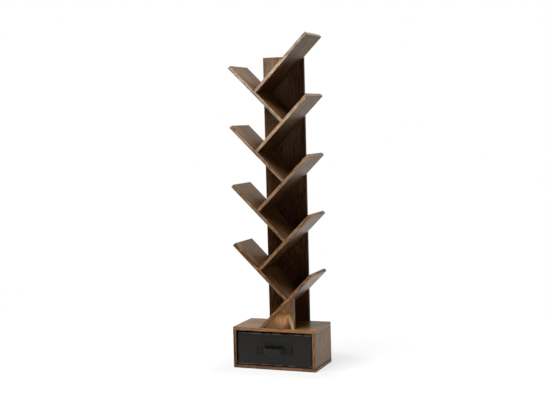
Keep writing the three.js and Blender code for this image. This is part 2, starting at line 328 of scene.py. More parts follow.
def woodSurface(tree, name, lean, seed, look):  # the places and layers that the finish is mixed from
    middle, halfSize = localBox(name, lean)
    coordinates = addNode(tree, "TexCoord").outputs
    turned = {"Vector": coordinates["Object"], "Rotation": (0, lean, 0), "Location": -middle}
    local = addNode(tree, "Mapping", turned).outputs["Vector"]
    grain = vectorMaths(tree, "ADD", local, [seed * shift for shift in look["seedShift"]])
    surface = {"local": local, "grain": grain, "halfSize": halfSize, "normal": coordinates["Normal"]}
    surface["x"], _, surface["z"] = split(tree, coordinates["Object"])
    surface["facingY"] = split(tree, coordinates["Normal"])[1]
    for layer in ("broad", "middling", "fine", "patches", "flecks"):
        surface[layer] = cloud(tree, grain, **look[layer])
    surface["pores"] = ease(tree, cloud(tree, grain, **look["poreNoise"]), *look["poreReach"])
    surface["knotCore"], surface["knotPull"] = knots(tree, grain, look)
    surface["rings"] = yearRings(tree, surface, seed, look)
    return surface


def stainShare(tree, surface, stain, look):  # strongest in the middle, with a ragged, fading outline
    across = awayFrom(tree, surface["x"], stain["middle"][0], stain["reach"][0])
    up = awayFrom(tree, surface["z"], stain["middle"][1], stain["reach"][1])
    distance = total(tree, (across, across), (up, up), (surface["flecks"], look["stainRaggedness"]))
    return ease(tree, distance, *look["stainReach"], 0.0, stain["share"])


def archDistance(tree, surface, arch):  # how far a point lies outside the parabola of a sawn year ring
    apexX, apexZ = arch["apex"]
    aside = maths(tree, "SUBTRACT", surface["x"], apexX)
    squared = product(tree, aside, aside)
    bulge = (squared, arch["curve"])
    height = total(tree, (surface["z"], 1.0), bulge, (surface["flecks"], arch["raggedness"]))
    steepness = maths(tree, "ADD", product(tree, squared, 4 * arch["curve"] ** 2), 1.0)
    return maths(tree, "DIVIDE", maths(tree, "SUBTRACT", height, apexZ), maths(tree, "SQRT", steepness))


def withArch(tree, surface, colour, arch):  # a pale year ring over a heart of dark strokes
    outside = archDistance(tree, surface, arch)
    strokes = ease(tree, cloud(tree, surface["grain"], **arch["strokes"]), *arch["strokeReach"])
    heart = product(tree, ease(tree, outside, *arch["heartReach"]), strokes)
    line = ease(tree, maths(tree, "ABSOLUTE", outside), arch["width"], 0.0)
    broken = ease(tree, surface["fine"], *arch["breakReach"], arch["breakLevel"], 1.0)
    limb = ease(tree, surface["x"], *arch["fadeIn"], 0.0, arch["share"])
    colour = mixed(tree, product(tree, heart, arch["heartShare"]), colour, arch["heart"])
    return mixed(tree, product(tree, line, broken, limb), colour, arch["colour"])


def foilColour(tree, surface, look):  # the printed foil on the faces
    rear = maths(tree, "GREATER_THAN", surface["facingY"], squarely)
    # painted shade: the front faces darken lower down, the rear faces get an even lift
    heightShade = ease(tree, surface["z"], *look["heightShadeReach"], 0.0, look["heightShade"])
    heightShade = total(tree, (heightShade, maths(tree, "SUBTRACT", 1.0, rear)), (rear, look["rearShadeLift"]))
    tone = maths(tree, "ADD", layered(tree, surface, look["toneShares"]), heightShade)
    colour = ramp(tree, maths(tree, "ADD", tone, look["tone"]), look["stops"])
    for layer, reach, share, tint in foilTints:
        colour = mixed(tree, ease(tree, surface[layer], *reach, 0.0, look[share]), colour, look[tint])
    # printed stains, and patches of painted shade, each with its colour
    for stain in look["stainsAndShade"]:
        colour = mixed(tree, stainShare(tree, surface, stain, look), colour, stain["colour"])
    if look["arch"]:
        colour = withArch(tree, surface, colour, look["arch"])
    colour = mixed(tree, product(tree, surface["rings"], look["ringShare"]), colour, look["pore"])
    fine = ease(tree, surface["fine"], *look["fineReach"], 0.0, look["fineShare"])
    colour = mixed(tree, fine, colour, look["pore"])
    colour = mixed(tree, product(tree, surface["knotCore"], look["knotShare"]), colour, look["knot"])
    return mixed(tree, product(tree, surface["pores"], look["poreShare"]), colour, look["pore"])


def bandingColour(tree, surface, end, look):  # a paler tape on the edges, streaked along its length
    # colour from edgeLow to edgeHigh along edgeAxis: painted light where that axis is the height
    height = ease(tree, surface[look["edgeAxis"]], *look["edgeReach"])
    band = mixed(tree, height, look["edgeLow"], look["edgeHigh"])
    fromMiddle = maths(tree, "ABSOLUTE", split(tree, surface["local"])[0])
    halfLength = surface["halfSize"].x
    # painted shade: the band darkens toward the board's tips, where it meets other pieces
    tip = ease(tree, fromMiddle, look["tipStart"] * halfLength, halfLength, 0.0, look["tipShadeShare"])
    band = mixed(tree, tip, band, look["seam"])
    if look["endColour"]:
        band = mixed(tree, end, band, look["endColour"])
    along, across, deep = split(tree, surface["grain"])
    acrossGrain = addNode(tree, "CombineXYZ", {0: across, 1: along, 2: deep}).outputs[0]
    tapeInputs = {0: end, 4: surface["grain"], 5: acrossGrain}
    tape = addNode(tree, "Mix", tapeInputs, data_type="VECTOR").outputs[1]
    streaks = product(tree, cloud(tree, tape, **look["streakNoise"]), look["streakContrast"])
    layers = {**surface, "streaks": maths(tree, "ADD", streaks, look["streakLevel"])}
    for layer, reach, share, tint in bandingTints:
        band = mixed(tree, ease(tree, layers[layer], *reach, 0.0, share), band, look[tint])
    mottle = cloud(tree, tape, **look["mottle"])
    share = look["mottleShare"]
    dark = ease(tree, mottle, *look["mottleDark"], 0.0, look["mottleDarkPart"] * share)
    band = mixed(tree, dark, band, look["seam"])
    band = mixed(tree, ease(tree, mottle, *look["mottlePale"], 0.0, share), band, look["wear"])
    onlyFront = product(tree, maths(tree, "SUBTRACT", 1.0, end), look["bandPoreShare"])
    return mixed(tree, product(tree, surface["pores"], onlyFront), band, look["pore"])


def jointShade(tree, surface, joints):  # dust and painted shade along the lines where other pieces meet this one
    dustAndShade = 0.0
    for joint in joints:
        height = maths(tree, "SUBTRACT", surface["z"], product(tree, surface["x"], joint["slope"]))
        apart = maths(tree, "ABSOLUTE", maths(tree, "SUBTRACT", height, joint["height"]))
        dustAndShade = maths(tree, "MAXIMUM", dustAndShade, ease(tree, apart, joint["reach"], 0.0, 0.0, joint["share"]))
    return dustAndShade


def edgeDistance(tree, local, halfSize):  # how far a point of a box's surface lies from the nearest edge
    inside = vectorMaths(tree, "SUBTRACT", tuple(halfSize), vectorMaths(tree, "ABSOLUTE", local))
    x, y, z = split(tree, inside)
    larger = maths(tree, "MAXIMUM", x, y)
    return maths(tree, "MAXIMUM", maths(tree, "MINIMUM", x, y), maths(tree, "MINIMUM", larger, z))


def edgeWear(tree, surface, look):  # the foil's dark seam at an edge, and where it is rubbed pale instead
    nearEdge = edgeDistance(tree, surface["local"], surface["halfSize"])
    nicks = cloud(tree, surface["grain"], **look["nicks"])
    ragged = total(tree, (nearEdge, 1.0), (nicks, look["nickDepth"]))
    handled = ease(tree, cloud(tree, surface["grain"], **look["handled"]), *look["handledReach"])
    seam = product(tree, ease(tree, ragged, *look["seamReach"]), maths(tree, "SUBTRACT", 1.0, handled))
    rubbed = product(tree, ease(tree, ragged, *look["rubReach"]), handled)
    return seam, rubbed


def woodMaterial(name, lean, seed, changes):
    look = {**woodLook, **changes}
    material, tree, shader = newMaterial(name + "_woodgrain")
    surface = woodSurface(tree, name, lean, seed, look)
    colour = foilColour(tree, surface, look)

    alongGrain = Matrix.Rotation(lean, 3, "Y").inverted() @ Vector((1, 0, 0))
    onEnd = vectorMaths(tree, "DOT_PRODUCT", surface["normal"], alongGrain, "Value")
    end = maths(tree, "GREATER_THAN", maths(tree, "ABSOLUTE", onEnd), squarely)
    front = maths(tree, "LESS_THAN", surface["facingY"], -squarely)
    banding = total(tree, (front, look["frontBanding"]), (end, look["endBanding"]))
    colour = mixed(tree, banding, colour, bandingColour(tree, surface, end, look))

    # dust and painted shade along the joints
    surface["dustAndShade"] = jointShade(tree, surface, look["joints"])
    colour = mixed(tree, surface["dustAndShade"], colour, look["seam"])
    seam, surface["rubbed"] = edgeWear(tree, surface, look)
    colour = mixed(tree, product(tree, seam, look["seamShare"]), colour, look["seam"])
    colour = mixed(tree, product(tree, surface["rubbed"], look["rubShare"]), colour, look["wear"])

    rough = maths(tree, "ADD", layered(tree, surface, look["roughShares"]), look["roughness"])
    relief = layered(tree, surface, look["reliefShares"])
    finishShader(tree, shader, colour, rough, relief, look)
    shader.inputs["IOR"].default_value = look["ior"]
    return material


# The slanting boards, from the lowest up: the banding and the upper ends are paler higher up, painted light
# that stands for stronger light near the top, and the foil's gloss varies
shelfLook = {
    "rightFront": ("#86592c", "#a37247", "#b38a66", "#cfae8c", "#c9b29c"),
    "rightEnd": ("#735339", "#7a5a3f", "#8a7360", "#988774", "#a39484"),
    "rightIor": (1.33, 1.33, 1.33, 1.34, 1.29),
    "leftFront": ("#8d663e", "#90724f", "#b79478", "#bfaa94"),
    # painted shade toward the tips of each board's banding
    "tipShadeShare": 0.2,
}
quarter = math.pi / 4
woodPieces = {}  # each piece's lean, its seed and what differs from woodLook


def shelfWood(front, end=None, ior=woodLook["ior"]):
    edges = {"edgeLow": front, "edgeHigh": front, "endColour": end}
    return {**edges, "tipShadeShare": shelfLook["tipShadeShare"], "ior": ior}


rightLooks = zip(shelfLook["rightFront"], shelfLook["rightEnd"], shelfLook["rightIor"])
for number, values in enumerate(rightLooks, 1):
    woodPieces[f"right_shelf_{number}"] = (quarter, 1.0 + number, shelfWood(*values))
for number, front in enumerate(shelfLook["leftFront"], 1):
    woodPieces[f"left_shelf_{number}"] = (-quarter, 10.0 + number, shelfWood(front))


# The trunk is darker, which is painted shade, deepest low on its front and lifted evenly on its back, with a
# patch of painted shade in its free upper corner
upperLow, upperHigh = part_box("trunk_upper")
trunkWood = {
    "stops": ((0.28, "#301702"), (0.42, "#5e3307"), (0.56, "#784c1b"), (0.72, "#a5835f")),
    "tone": -0.18,
    "heightShade": 0.30,
    "rearShadeLift": 0.24,
    "ringShare": 0.12,
    "ringWander": 0.03,
    "ior": 1.14,
    "greenShare": 0.05,
    "fleckShare": 0.1,
    "frontBanding": 0.3,
    "stainsAndShade": (
        # painted shade in the trunk's free upper corner
        {"middle": (upperLow.x, upperHigh.z), "reach": (0.12, 0.12), "colour": "#2e2018", "share": 0.9},
    ),
}
woodPieces["trunk_lower"] = (2 * quarter, 20.3, trunkWood)
woodPieces["trunk_upper"] = (2 * quarter, 21.6, trunkWood)


# The brace shows the laminate's face in front: tan and pink stains, and one pale arch of a year ring
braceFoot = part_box("front_brace")[0]
braceWood = {
    "frontBanding": 0.0,
    # dust and painted shade along the slanting joint with the board above it
    "joints": ({"slope": 1.0, "height": braceFoot.z - braceFoot.x, "reach": 7 * mm, "share": 0.7},),
    "tone": 0.60,
    "ior": 1.24,
    "ringShare": 0.2,
    "ringWander": 0.02,
    "orangeShare": 0.35,
    "greenShare": 0.1,
    "fleckShare": 0.7,
    "flecks": {"scale": (46, 78, 78), "distortion": 0.3},
    "pinkFleck": "#a06a50",
    "oliveFleck": "#7a6038",
    "stainsAndShade": (
        {"middle": (0.043, 0.229), "reach": (0.044, 0.026), "colour": "#d29a68", "share": 0.95},
        {"middle": (0.096, 0.290), "reach": (0.012, 0.060), "colour": "#6f5652", "share": 0.8},
        {"middle": (0.000, 0.205), "reach": (0.026, 0.016), "colour": "#8f7a4c", "share": 0.5},
        {"middle": (0.033, 0.199), "reach": (0.018, 0.011), "colour": "#ac7866", "share": 0.6},
        {"middle": (0.098, 0.222), "reach": (0.010, 0.036), "colour": "#b5806a", "share": 0.6},
    ),
    "arch": {
        "apex": (0.069, 0.260),
        "curve": 110.0,
        "raggedness": 0.022,
        "width": 11 * mm,
        "fadeIn": (0.056, 0.070),
        "breakReach": (0.36, 0.52),
        "breakLevel": 0.45,
        "share": 0.95,
        "colour": "#f0c48c",
        "heart": "#2e2926",
        "heartShare": 0.7,
        "heartReach": (-5.5 * mm, -22 * mm),
        "strokes": {"scale": (18, 260, 260)},
        "strokeReach": (0.42, 0.55),
    },
}
woodPieces["front_brace"] = (2 * quarter, 22.4, braceWood)


# The cabinet's panels, each with its own front edge
# dust and painted shade along the panels' feet and along the ground
footJoint = {"slope": 0.0, "height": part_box("base_floor")[1].z, "reach": 4 * mm, "share": 0.8}
groundJoint = {"slope": 0.0, "height": 0.0, "reach": 4 * mm, "share": 0.8}
cabinetWood = {
    "base_top": (0.0, 23.7, {
        "edgeLow": "#8f6850",
        "edgeHigh": "#b07744",
        "edgeAxis": "x",
        "edgeReach": (-0.2, -0.08),
        "endColour": "#7d6250",
        "tone": 0.12,
        "fleckShare": 0.45,
    }),
    "base_floor": (0.0, 24.9, {
        "edgeLow": "#654322",
        "edgeHigh": "#94643c",
        "edgeAxis": "x",
        "edgeReach": (-0.1, 0.2),
        "endColour": "#5e4e3e",
        "tone": -0.2,
        "joints": (groundJoint, footJoint),
    }),
    "base_left_side": (2 * quarter, 25.2, {
        "edgeLow": "#55341a",
        "edgeHigh": "#5f3d1d",
        "edgeReach": (0.0, 0.19),
        "tone": 0.04,
        "joints": (footJoint,),
    }),
    "base_right_side": (2 * quarter, 26.8, {
        "edgeLow": "#865a2e",
        "edgeHigh": "#785529",
        "edgeReach": (0.0, 0.19),
        "tone": 0.24,
        "fleckShare": 0.45,
        "orangeShare": 0.15,
        "joints": (footJoint,),
    }),
}
for name, (lean, seed, changes) in cabinetWood.items():
    woodPieces[name] = (lean, seed, {"mottleShare": 0.2, **changes})

for name, (lean, seed, changes) in woodPieces.items():
    dress(nodes[name], woodMaterial(name, lean, seed, changes))
print("woodgrain on", len(woodPieces), "pieces")


# Back panel: thin hardboard, plain brown with a speckle of fibres
hardboardLook = {
    "dark": "#3b2617",
    "pale": "#6a4a30",
    "fibres": {"scale": (420, 420, 900), "detail": 4, "roughness": 0.7},
    "patches": {"scale": (9, 9, 9), "detail": 3},
    "paleShares": {"fibres": 0.7, "patches": 0.5},
    "paleReach": (0.35, 0.85),
    "roughLayer": "fibres",
    "roughness": (0.6, 0.8),
    "reliefLayer": "fibres",
    "reliefStrength": 0.3,
    "reliefDepth": 0.4 * mm,
    "metallic": 0.0,
}
# Screws: zinc-plated steel, finely scratched and a little tarnished
screwLook = {
    "dark": "#4d4a45",
    "pale": "#8b877f",
    "tarnish": {"scale": (420, 420, 420), "detail": 3},
    "scratches": {"scale": (3000, 900, 900)},
    "paleShares": {"tarnish": 0.7, "scratches": 0.4},
    "paleReach": (0.35, 0.75),
    "roughLayer": "tarnish",
    "roughness": (0.32, 0.52),
    "reliefLayer": "scratches",
    "reliefStrength": 0.2,
    "reliefDepth": 0.1 * mm,
    "metallic": 1.0,
}


def speckledMaterial(name, look):  # layers of noise mixed between a dark and a pale colour
    material, tree, shader = newMaterial(name)
    place = addNode(tree, "TexCoord").outputs["Object"]
    layers = {layer: cloud(tree, place, **look[layer]) for layer in look["paleShares"]}
    pale = ease(tree, layered(tree, layers, look["paleShares"]), *look["paleReach"])
    colour = mixed(tree, pale, look["dark"], look["pale"])
    rough = ease(tree, layers[look["roughLayer"]], *noiseSpan, *look["roughness"])
    finishShader(tree, shader, colour, rough, layers[look["reliefLayer"]], look)
    shader.inputs["Metallic"].default_value = look["metallic"]
    return material


dress(nodes["base_back"], speckledMaterial("hardboard", hardboardLook))
screwFinish = speckledMaterial("screw_steel", screwLook)
for name, node in nodes.items():
    if "_screw" in name:
        dress(node, screwFinish)
print("back panel and screws finished")


# Drawer cloth and thread
clothLook = {
    "dark": "#070707",
    "pale": "#161514",
    "weavePerMetre": 1300,
    "patches": {"scale": (14, 14, 14), "detail": 3},
    "lint": {"scale": (700, 700, 300)},
    "lintReach": (0.6, 0.75),
    "slubs": ({"scale": (60, 60, 800)}, {"scale": (800, 800, 60)}),
    "slubReach": (0.45, 0.7),
    "paleShares": {"weave": 0.2, "patches": 0.6, "lint": 0.25, "raised": 0.6},
    "paleReach": (0.2, 0.75),
    "roughness": (0.54, 0.62),
    "specular": 0.3,
    "sheen": 0.03,
    "sheenRoughness": 0.5,
    "reliefShares": {"weave": 0.5, "slub": 3.0},
    "reliefStrength": 0.35,
    "reliefDepth": 0.2 * mm,
    "foldNoise": {"scale": (26, 26, 60)},
    "foldWander": 1.6,
    "foldReach": (0.36, 0.56),
}
frontClothLook = {
    **clothLook,
    # painted shade behind the strap
    "paintedStrapShade": {
        "colour": "#020202",
        "middle": (-0.006, 0.095),
        "reach": (0.056, 0.0145),
        "squareness": 4.0,
        "blur": 0.28,
    },
    # painted highlight along the fold of the hem at the foot
    "paintedHighlight": {"colour": "#8a8684", "height": 0.0212, "reach": 0.0024, "share": 0.75},
}
bindingClothLook = {
    **clothLook,
    # painted highlight along the binding's rounded top
    "paintedHighlight": {"colour": "#6a6866", "height": 0.1655, "reach": 0.0042, "share": 0.75},
}
strapLook = {
    **clothLook,
    "dark": "#080808",
    "pale": "#171614",
    "weavePerMetre": 900,
    "roughness": (0.58, 0.66),
    "specular": 0.26,
}
threadLook = {
    "dark": "#010101",
    "pale": "#090908",
    "twistPerMetre": 2600,
    "roughness": (0.5, 0.7),
    "specular": 0.12,
}


def waves(tree, place, perMetre):  # a sine wave along a direction given as waves per metre on each axis
    turned = [2 * math.pi * count for count in perMetre]
    return maths(tree, "SINE", vectorMaths(tree, "DOT_PRODUCT", place, turned, "Value"))


def weave(tree, place, perMetre):
    yarns = [waves(tree, place, [perMetre * (axis == other) for other in range(3)]) for axis in range(3)]
    return product(tree, maths(tree, "ADD", yarns[0], yarns[1]), yarns[2])


def behindStrap(tree, place, patch):  # 1 in a soft-edged round-cornered patch of the drawer's front, where shade behind the strap is painted
    x, _, z = split(tree, place)
    edges = []
    for value, middle, reach in zip((x, z), patch["middle"], patch["reach"]):
        away = maths(tree, "ABSOLUTE", awayFrom(tree, value, middle, reach))
        edges.append(maths(tree, "POWER", away, patch["squareness"]))
    return ease(tree, maths(tree, "ADD", *edges), 1.0 + patch["blur"], 1.0 - patch["blur"])


def foldHighlight(tree, place, look):  # painted highlight along a wavering fold
    paintedHighlight = look["paintedHighlight"]
    along = cloud(tree, place, **look["foldNoise"])
    wander = look["foldWander"] * paintedHighlight["reach"]
    height = total(tree, (split(tree, place)[2], 1.0), (along, wander))
    apart = maths(tree, "ABSOLUTE", maths(tree, "SUBTRACT", height, paintedHighlight["height"] + wander / 2))
    onFold = ease(tree, apart, paintedHighlight["reach"], 0.0, 0.0, paintedHighlight["share"])
    return product(tree, onFold, ease(tree, along, *look["foldReach"]))


def clothMaterial(name, look):
    material, tree, shader = newMaterial(name)
    place = addNode(tree, "TexCoord").outputs["Object"]
    layers = {
        "weave": weave(tree, place, look["weavePerMetre"]),
        "patches": cloud(tree, place, **look["patches"]),
        "lint": ease(tree, cloud(tree, place, **look["lint"]), *look["lintReach"]),
        "slub": maths(tree, "MAXIMUM", *(cloud(tree, place, **slub) for slub in look["slubs"])),
    }
    layers["raised"] = ease(tree, layers["slub"], *look["slubReach"])
    pale = ease(tree, layered(tree, layers, look["paleShares"]), *look["paleReach"])
    colour = mixed(tree, pale, look["dark"], look["pale"])
    rough = ease(tree, layers["patches"], *noiseSpan, *look["roughness"])
    if "paintedStrapShade" in look:  # painted shade: the stretch of cloth behind the handle is painted deep black
        strapShade = behindStrap(tree, place, look["paintedStrapShade"])
        colour = mixed(tree, strapShade, colour, look["paintedStrapShade"]["colour"])
        rough = maths(tree, "MAXIMUM", rough, strapShade)
    # painted highlight along a fold
    if "paintedHighlight" in look:
        colour = mixed(tree, foldHighlight(tree, place, look), colour, look["paintedHighlight"]["colour"])
    finishShader(tree, shader, colour, rough, layered(tree, layers, look["reliefShares"]), look)
    shader.inputs["Specular IOR Level"].default_value = look["specular"]
    shader.inputs["Sheen Weight"].default_value = look["sheen"]
    shader.inputs["Sheen Roughness"].default_value = look["sheenRoughness"]
    return material


def threadMaterial(look):
    material, tree, shader = newMaterial("sewing_thread")
    place = addNode(tree, "TexCoord").outputs["Object"]
    twist = waves(tree, place, [look["twistPerMetre"]] * 3)
    feed(tree, shader.inputs["Base Color"], mixed(tree, ease(tree, twist, -1, 1), look["dark"], look["pale"]))
    feed(tree, shader.inputs["Roughness"], ease(tree, twist, -1, 1, *look["roughness"]))
    shader.inputs["Specular IOR Level"].default_value = look["specular"]
    return material


drawerCloth = clothMaterial("drawer_cloth", clothLook)
frontCloth = clothMaterial("drawer_front_cloth", frontClothLook)
bindingCloth = clothMaterial("drawer_binding_cloth", bindingClothLook)
strapCloth = clothMaterial("strap_webbing", strapLook)
thread = threadMaterial(threadLook)


def addMesh(name, points, faces, material, body, standsFor=()):
    mesh = bpy.data.meshes.new(name)
    mesh.from_pydata([tuple(p) for p in points], [], faces)
    bm = bmesh.new()
    bm.from_mesh(mesh)
    bmesh.ops.remove_doubles(bm, verts=bm.verts, dist=1e-6)
    bmesh.ops.recalc_face_normals(bm, faces=bm.faces)
    bm.to_mesh(mesh)
    bm.free()
    mesh.shade_smooth()
    thing = bpy.data.objects.new(name, mesh)
    bpy.context.scene.collection.objects.link(thing)
    dress(thing, material)
    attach(thing, body)
    if standsFor:
        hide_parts(*standsFor)


def joinRings(faces, first, rings, sides):  # walls between rings of points, and a cap on both ends
    for r in range(rings - 1):
        for s in range(sides):
            a, b = first + r * sides + s, first + r * sides + (s + 1) % sides
            faces.append((a, b, b + sides, a + sides))
    faces.append(tuple(first + s for s in range(sides)))
    faces.append(tuple(first + (rings - 1) * sides + s for s in reversed(range(sides))))


# Covered boards: cardboard in cloth, with full round edges and a soft, slightly uneven face
panelLook = {
    "turns": 5,
    "step": 5 * mm,
    "seamRound": 0.7 * mm,
    "sunk": 0.3 * mm,
    "unevenness": 0.35 * mm,
    "ripple": (11, 11, 3.3),
}


def stations(length, roundness, step, turns):
    edge = [roundness * (1 - math.cos(math.pi / 2 * i / turns)) for i in range(turns)]
    count = max(2, round((length - 2 * roundness) / step))
    inner = [roundness + (length - 2 * roundness) * i / count for i in range(count + 1)]
    return edge + inner + [length - e for e in reversed(edge)]


def swell(distance, roundness):
    return math.sqrt(max(0.0, 1 - (1 - min(distance, roundness) / roundness) ** 2))


def ripple(first, second, shape):  # smooth noise; a shape is its scale on both axes and a slice of its own
    return noise.noise(Vector((first * shape[0], second * shape[1], shape[2])))


def quietRelief(first, second):
    wave = ripple(first, second, panelLook["ripple"])
    return panelLook["unevenness"] * min(0.0, wave) - panelLook["sunk"]


def coveredBoard(name, node, thin, relief=quietRelief, outward=1, cloth=drawerCloth, butted=(False, False)):
    low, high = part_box(node)
    axes = [a for a in range(3) if a != thin]
    roundness = (high[thin] - low[thin]) / 2
    widths = [high[a] - low[a] for a in axes]
    rounds = [panelLook["seamRound"] if isButted else roundness for isButted in butted]
    us, vs = (stations(w, r, panelLook["step"], panelLook["turns"]) for w, r in zip(widths, rounds))
    points, faces = [], []
    for side in (1, -1):
        for u in us:
            for v in vs:
                full = swell(min(u, widths[0] - u), rounds[0]) * swell(min(v, widths[1] - v), rounds[1])
                rise = relief(low[axes[0]] + u, low[axes[1]] + v) if side == outward else 0.0
                point = Vector((0, 0, 0))
                point[axes[0]], point[axes[1]] = low[axes[0]] + u, low[axes[1]] + v
                point[thin] = (low[thin] + high[thin]) / 2 + side * full * (roundness + rise)
                points.append(point)
    rows = len(vs)
    for side in range(2):
        start = side * len(us) * rows
        for i in range(len(us) - 1):
            for j in range(rows - 1):
                a = start + i * rows + j
                faces.append((a, a + rows, a + rows + 1, a + 1))
    addMesh(name, points, faces, cloth, "drawer", [node])


# The drawer's front: a hem along its foot, and puckers round the two sewn ends of the strap
frontLook = {
    "hemHeight": 6.5 * mm,
    "hemWander": 0.14,
    "hemRipple": (16, 0, 9.3),
    "hemRise": 0.35 * mm,
    "hemWidth": 1.4 * mm,
    "tuck": 1.1 * mm,
    "tuckPower": 0.6,
    "unevenness": 0.5 * mm,
    "broadRipple": (9, 14, 1.7),
    "fineRipple": (23, 30, 4.1),
    "fineShare": 0.5,
    "pucker": 0.35 * mm,
    "puckerFolds": 7,
    "puckerReach": 22 * mm,
    "sunk": 0.45 * mm,
    "strapBelowRim": 77 * mm,
    "sewnFromEnd": 17 * mm,
}
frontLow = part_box("drawer_front")[0]
strapLow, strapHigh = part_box("drawer_handle_strap")
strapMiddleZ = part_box("drawer_rim_binding")[1].z - frontLook["strapBelowRim"]
sewnMiddleX = strapHigh.x - frontLook["sewnFromEnd"]


def frontRelief(x, z):
    above = z - frontLow.z
    fine = frontLook["fineShare"] * ripple(x, z, frontLook["fineRipple"])
    wave = ripple(x, z, frontLook["broadRipple"]) + fine
    hemLine = frontLook["hemHeight"] * (1 + frontLook["hemWander"] * ripple(x, z, frontLook["hemRipple"]))
    hem = math.exp(-((above - hemLine) / frontLook["hemWidth"]) ** 2)
    tuck = -frontLook["tuck"] * max(0.0, 1 - above / hemLine) ** frontLook["tuckPower"]
    pulled = 0.0
    for side in (-1, 1):
        dx, dz = x - side * sewnMiddleX, z - strapMiddleZ
        reach = math.hypot(dx, dz)
        folds = math.cos(frontLook["puckerFolds"] * math.atan2(dz, dx) + side)
        pulled += math.exp(-(reach / frontLook["puckerReach"]) ** 2) * folds
    rise = frontLook["unevenness"] * min(0.0, wave) + frontLook["hemRise"] * hem + tuck
    return rise + frontLook["pucker"] * min(0.0, pulled) - frontLook["sunk"]


coveredBoard("drawer_front_panel", "drawer_front", 1, frontRelief, -1, frontCloth)
coveredBoard("drawer_rear_panel", "drawer_rear", 1)
coveredBoard("drawer_left_panel", "drawer_left_side", 0, outward=-1, butted=(True, False))
coveredBoard("drawer_right_panel", "drawer_right_side", 0, butted=(True, False))
coveredBoard("drawer_floor_panel", "drawer_floor", 2, butted=(True, True))
print("drawer panels made")


# Stitches: each one a short, fat thread that dips at both ends
stitchShape = {"sides": 6, "rings": 5, "endShare": 0.45, "liftShare": 0.35}
runningStitch = {"length": 3.6 * mm, "gap": 1.3 * mm, "thickness": 0.8 * mm}
barStitch = {"pitch": 1.2 * mm, "width": 3.6 * mm, "thickness": 1.1 * mm}


def addStitch(points, faces, start, end, outward, thickness, shape=stitchShape):
    along = end - start
    side = along.cross(outward).normalized()
    sides, rings = shape["sides"], shape["rings"]
    first = len(points)
    for r in range(rings):
        share = (r + 0.5) / rings
        lift = math.sin(math.pi * share)
        size = thickness / 2 * (shape["endShare"] + (1 - shape["endShare"]) * lift)
        for s in range(sides):
            angle = 2 * math.pi * s / sides
            rise = math.sin(angle) * size + lift * thickness * shape["liftShare"]
            points.append(start + along * share + side * math.cos(angle) * size + outward * rise)
    joinRings(faces, first, rings, sides)


def stitchLine(points, faces, start, end, outward, look=runningStitch):
    pitch = look["length"] + look["gap"]
    count = max(1, round((end - start).length / pitch))
    step = (end - start) / count
    for i in range(count):
        begin = start + step * i
        addStitch(points, faces, begin, begin + step * (look["length"] / pitch), outward, look["thickness"])


def stitchBar(points, faces, start, end, outward, look=barStitch):
    count = round((end - start).length / look["pitch"])
    step = (end - start) / count
    swing = step.cross(outward).normalized() * look["width"] / 2
    for i in range(count):
        side = 1 if i % 2 else -1
        addStitch(points, faces, start + step * i + swing * side, start + step * (i + 1) - swing * side,
                  outward, look["thickness"])


# Rim binding: a tape folded over the walls' tops and sewn through, all the way round
bindingLook = {
    "halfWidth": 4 * mm,
    "thickness": 1.2 * mm,
    "wave": 0.35 * mm,
    "outRipple": (21, 21, 2.2),
    "topRipple": (17, 17, 7.9),
    "topSink": 0.7,
    "lipRipple": (25, 25, 5.5),
    "lipIn": 0.3 * mm,
    "lipUp": 0.6 * mm,
    "outerSpring": 3.6 * mm,
    "innerSpring": 3.8 * mm,
    "innerRise": 2.5 * mm,
    "archTurns": 10,
    "cornerRadius": 5 * mm,
    "cornerTurns": 7,
    "step": 4 * mm,
    "stitchAbove": 2.2 * mm,
    "stitchSunk": 0.1 * mm,
    "stitchThickness": 0.6 * mm,
    "stitchShares": (0.12, 0.88),
    "stitchLeast": 2 * mm,
}
bindingLow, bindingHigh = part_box("drawer_rim_binding")


def rimPath(low, high, look):  # points with their outward directions, once round
    inset, radius, turns = look["halfWidth"], look["cornerRadius"], look["cornerTurns"]
    middleY = (low.y + high.y) / 2
    corners = [(high.x - inset, low.y + inset, -90), (high.x - inset, high.y - inset, 0),
               (low.x + inset, high.y - inset, 90), (low.x + inset, low.y + inset, 180)]
    centres = [Vector((x - math.copysign(radius, x), y - math.copysign(radius, y - middleY), 0))
               for x, y, _ in corners]
    path = []
    for index, (_, _, startAngle) in enumerate(corners):
        for turn in range(turns + 1):
            angle = math.radians(startAngle + 90 * turn / turns)
            out = Vector((math.cos(angle), math.sin(angle), 0))
            path.append((centres[index] + out * radius, out))
        begin, finish = (centre + out * radius for centre in (centres[index], centres[(index + 1) % 4]))
        count = round((finish - begin).length / look["step"])
        path += [(begin.lerp(finish, i / count), out) for i in range(1, count)]
    return path


def bindingSection(place, look):  # pairs of outward offset and height, the tape's U seen along the rim
    bottom, top = bindingLow.z, bindingHigh.z
    waveOut = look["wave"] * ripple(place.x, place.y, look["outRipple"])
    waveTop = look["wave"] * (ripple(place.x, place.y, look["topRipple"]) - look["topSink"])
    lip = bottom + look["wave"] * ripple(place.x, place.y, look["lipRipple"])
    rounded = lip + look["lipUp"]
    outer = look["halfWidth"] + min(0.0, waveOut)
    inner = look["halfWidth"] - look["thickness"]
    section = [(inner, bottom), (outer - look["lipIn"], lip), (outer, rounded)]
    for i in range(look["archTurns"] + 1):
        angle = math.pi * i / look["archTurns"]
        height = top - look["outerSpring"] + (look["outerSpring"] + waveTop) * math.sin(angle)
        section.append((outer * math.cos(angle), height))
    section += [(-outer, rounded), (-outer + look["lipIn"], lip), (-inner, bottom)]
    for i in range(look["archTurns"] + 1):
        angle = math.pi * (1 - i / look["archTurns"])
        height = top - look["innerSpring"] + look["innerRise"] * math.sin(angle)
        section.append((inner * math.cos(angle), height))
    return section


